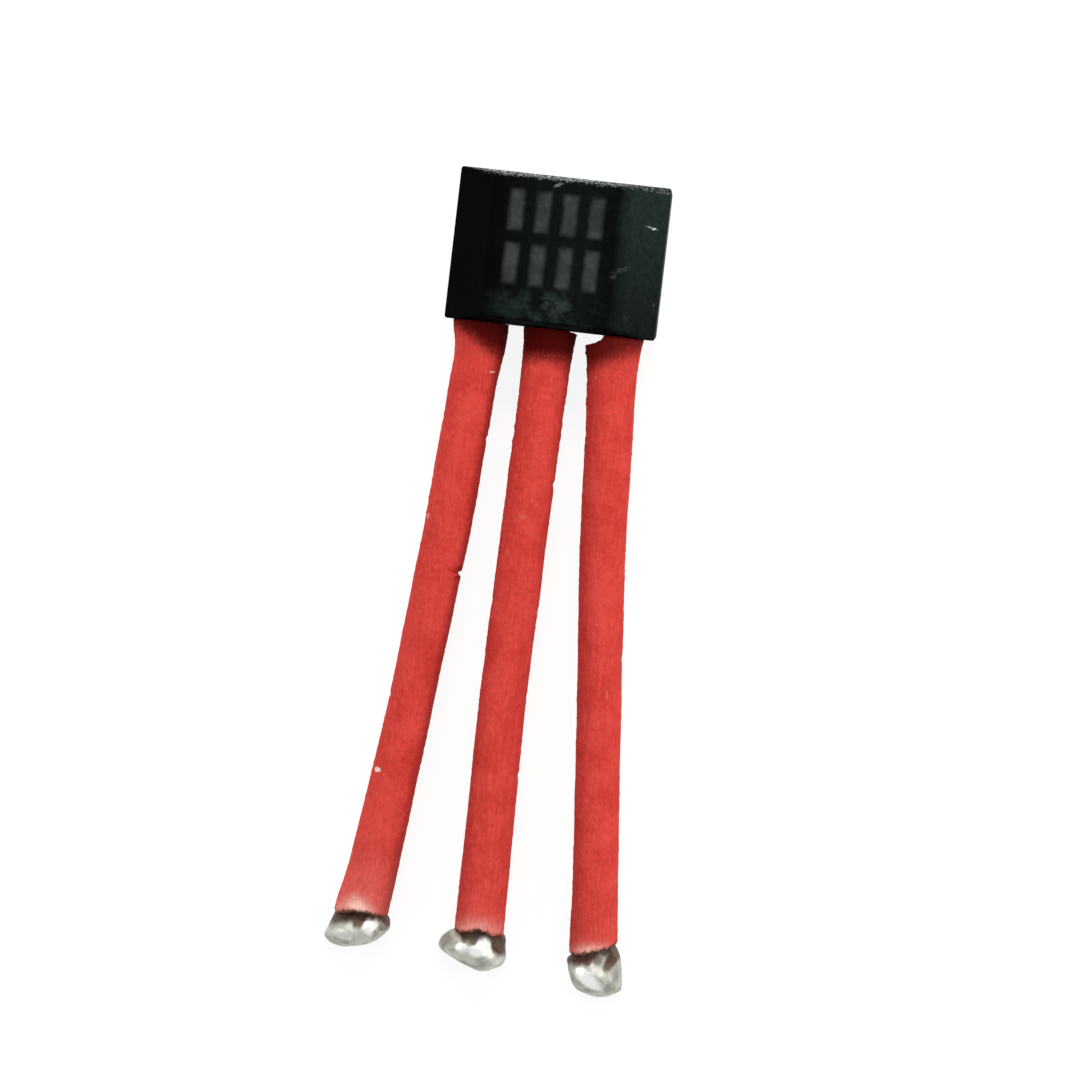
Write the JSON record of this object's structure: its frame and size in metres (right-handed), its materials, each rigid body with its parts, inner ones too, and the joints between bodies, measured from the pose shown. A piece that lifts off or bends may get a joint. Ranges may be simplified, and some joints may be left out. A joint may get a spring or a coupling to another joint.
{
  "type": "hall effect sensor",
  "caption": "Flat moulded magnetic-field sensor with a chamfered face, leads in a row running out of one edge in red insulating sleeves, and solder on the lead ends.",
  "frame": {"origin": "centre of the package's flat back face, the face that lies on the surface", "axes": "+Z out of the marked face; the leads run along -Y; +X to the right as the marked face is read with the leads pointing down"},
  "size_m": [0.0057, 0.0155, 0.0015],
  "materials": {
    "mould_compound": "satin black epoxy, finely spark-eroded",
    "marking_ink": "worn grey laser marking",
    "tinned_copper": "dull tin plating",
    "silicon": "polished silicon",
    "attach_epoxy": "silver-filled epoxy",
    "bond_gold": "bright gold wire",
    "red_sleeve": "matte red heat-shrink tube, slightly scuffed",
    "solder": "bright solder with brown flux at its edge"
  },
  "bodies": {
    "root": {"moulded_body": "mould_compound", "face_marking": "marking_ink", "lead_supply": "tinned_copper", "lead_ground": "tinned_copper", "lead_output": "tinned_copper", "sensor_die": "silicon", "die_attach": "attach_epoxy", "bond_wire_supply": "bond_gold", "bond_wire_ground": "bond_gold", "bond_wire_output": "bond_gold", "sleeve_supply": "red_sleeve", "sleeve_ground": "red_sleeve", "sleeve_output": "red_sleeve", "solder_tip_supply": "solder", "solder_tip_ground": "solder", "solder_tip_output": "solder"}
  },
  "joints": []
}
